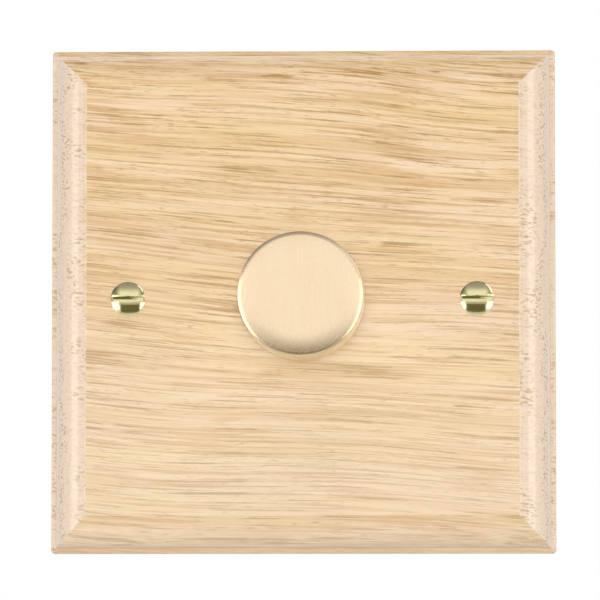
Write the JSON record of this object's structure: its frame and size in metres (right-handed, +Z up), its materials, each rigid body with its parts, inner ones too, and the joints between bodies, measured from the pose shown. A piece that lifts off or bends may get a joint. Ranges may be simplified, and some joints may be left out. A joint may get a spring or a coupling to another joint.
{
  "type": "dimmer switch",
  "caption": "Square oak wall plate with a moulded ovolo edge, a round push-and-turn brass dimmer knob, slotted brass fixing screws and a dimmer module behind.",
  "frame": {"origin": "centre of the wall face, midway between the fixing screws", "axes": "+X to the right and +Z up as it hangs, +Y into the wall, front faces -Y"},
  "size_m": [0.0876, 0.0433, 0.0876],
  "materials": {
    "oak": "pale oak, grain across, satin lacquer",
    "satin_brass": "fine vertical brushing, satin",
    "polished_brass": "polished",
    "zinc_steel": "bright zinc plate",
    "terminal_brass": "machined",
    "nickel": "nickel plate",
    "spring_steel": "oiled spring steel",
    "tinned_metal": "tinned",
    "contact_bronze": "rolled bronze",
    "sink_aluminium": "mill finish",
    "black_moulding": "fine spark texture",
    "grey_moulding": "moulded, fine texture",
    "white_moulding": "acetal",
    "phenolic": "paper phenolic",
    "board_laminate": "solder resist over glass laminate",
    "film_box": "moulded box",
    "can_sleeve": "shrunk sleeve",
    "ferrite": "sintered",
    "enamelled_copper": "enamelled wire",
    "fuse_moulding": "moulded",
    "epoxy": "moulded epoxy"
  },
  "bodies": {
    "plate": {"front_plate": "oak", "fixing_screws": "polished_brass", "support_plate": "zinc_steel", "plate_screws": "zinc_steel", "earth_terminal": "terminal_brass", "earth_screw": "zinc_steel", "mounting_bush": "nickel", "bush_nut": "nickel", "bush_washer": "spring_steel", "control_housing": "black_moulding", "track_plate": "phenolic", "track_pins": "tinned_metal", "heat_sink": "sink_aluminium", "case_screws": "zinc_steel", "rear_case": "black_moulding", "circuit_board": "board_laminate", "film_capacitor": "film_box", "smoothing_capacitor": "can_sleeve", "choke_core": "ferrite", "choke_winding": "enamelled_copper", "fuse_link": "fuse_moulding", "control_chip": "epoxy", "mosfet_tabs": "tinned_metal", "mosfet_bodies": "epoxy", "mosfet_leads": "tinned_metal", "mosfet_screws": "zinc_steel", "switch_base": "grey_moulding", "switch_cover": "grey_moulding", "fixed_contacts": "contact_bronze", "return_spring": "spring_steel", "terminal_block": "grey_moulding", "terminal_cages": "terminal_brass", "terminal_screws": "zinc_steel"},
    "rotor": {"wiper_rotor": "white_moulding", "wiper_contact": "contact_bronze"},
    "knob": {"knob_cap": "satin_brass", "knob_core": "black_moulding", "knob_spring": "spring_steel", "spindle": "white_moulding", "spindle_clip": "spring_steel"},
    "plunger": {"switch_plunger": "white_moulding", "moving_contact": "contact_bronze"}
  },
  "joints": [
    {"name": "knob_turn", "type": "hinge", "parent": "plate", "child": "rotor", "pos_m": [0, 0, 0], "axis": [0, 1, 0], "range_deg": [0, 300]},
    {"name": "knob_push", "type": "slide", "parent": "rotor", "child": "knob", "axis": [0, 1, 0], "range_m": [0, 0.0012], "stiffness_N_per_m": 1500, "springref_m": -0.0015},
    {"name": "plunger_push", "type": "slide", "parent": "plate", "child": "plunger", "axis": [0, 1, 0], "range_m": [0, 0.0012], "deforming": ["return_spring"]}
  ],
  "couplings": [
    {"joint": "plunger_push", "follows": "knob_push", "ratio": 1}
  ]
}
